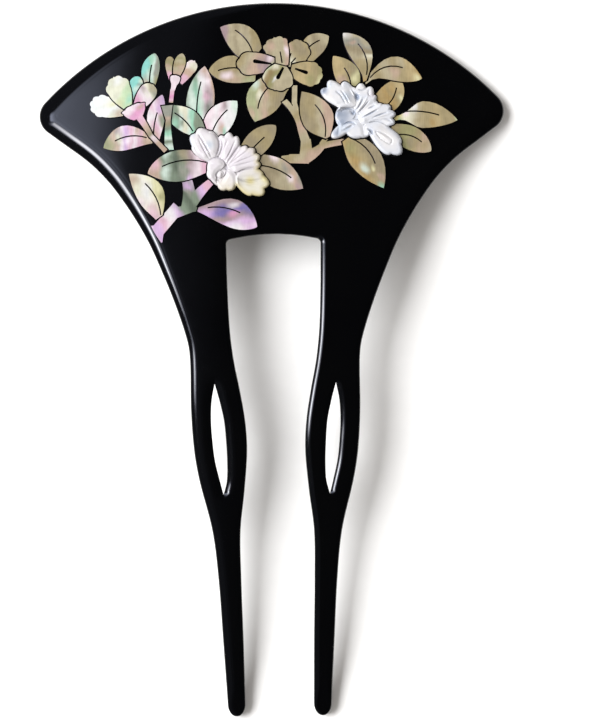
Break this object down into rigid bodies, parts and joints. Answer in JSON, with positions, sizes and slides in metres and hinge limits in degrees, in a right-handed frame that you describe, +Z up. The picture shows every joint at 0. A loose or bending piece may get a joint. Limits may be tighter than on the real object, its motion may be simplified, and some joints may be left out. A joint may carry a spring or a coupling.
{
  "type": "kanzashi",
  "caption": "Fan headed hair stick in black lacquer with two pierced prongs and a mother-of-pearl flower spray, domed to follow the hair.",
  "frame": {"origin": "middle of the length and width, on the surface the hair stick lies on, face up", "axes": "+Y from the prongs to the head, +X to the right of the face, +Z up out of the face"},
  "size_m": [0.0814, 0.125, 0.0112],
  "materials": {
    "lacquer": "polished black lacquer",
    "pearl_pink": "polished mother-of-pearl, pink and lilac",
    "pearl_white": "polished mother-of-pearl, white and mint",
    "pearl_cream": "polished mother-of-pearl, cream and tan",
    "pearl_gold": "polished mother-of-pearl, golden tan",
    "shell_warm": "carved shell, satin, warm white",
    "shell_white": "carved shell, satin, bluish white"
  },
  "bodies": {
    "root": {"body": "lacquer", "leaf_left_1": "pearl_white", "leaf_left_2": "pearl_pink", "leaf_left_3": "pearl_pink", "leaf_left_4": "pearl_white", "leaf_left_5": "pearl_white", "leaf_left_6": "pearl_white", "leaf_left_7": "pearl_white", "leaf_left_8": "pearl_pink", "leaf_left_9": "pearl_pink", "leaf_centre_1": "pearl_cream", "leaf_centre_2": "pearl_gold", "leaf_centre_3": "pearl_cream", "leaf_centre_4": "pearl_cream", "leaf_centre_5": "pearl_cream", "leaf_centre_6": "pearl_white", "leaf_right_1": "pearl_gold", "leaf_right_2": "pearl_gold", "leaf_right_3": "pearl_gold", "leaf_right_4": "pearl_gold", "leaf_right_5": "pearl_gold", "leaf_right_6": "pearl_gold", "leaf_right_7": "pearl_gold", "leaf_right_8": "pearl_gold", "bloom_petal_a": "pearl_white", "bloom_petal_b": "pearl_white", "bloom_petal_c": "pearl_white", "bloom_petal_d": "pearl_pink", "bud_petal_a": "pearl_pink", "bud_petal_b": "pearl_white", "bud_petal_c": "pearl_pink", "flower_petal_a": "pearl_cream", "flower_petal_b": "pearl_cream", "flower_petal_c": "pearl_cream", "flower_petal_d": "pearl_cream", "flower_petal_e": "pearl_gold", "bloom_stem": "pearl_pink", "bud_stem": "pearl_pink", "left_stem": "pearl_pink", "left_branch": "pearl_pink", "centre_branch": "pearl_cream", "bloom_left": "shell_warm", "bloom_right": "shell_white"}
  },
  "joints": []
}
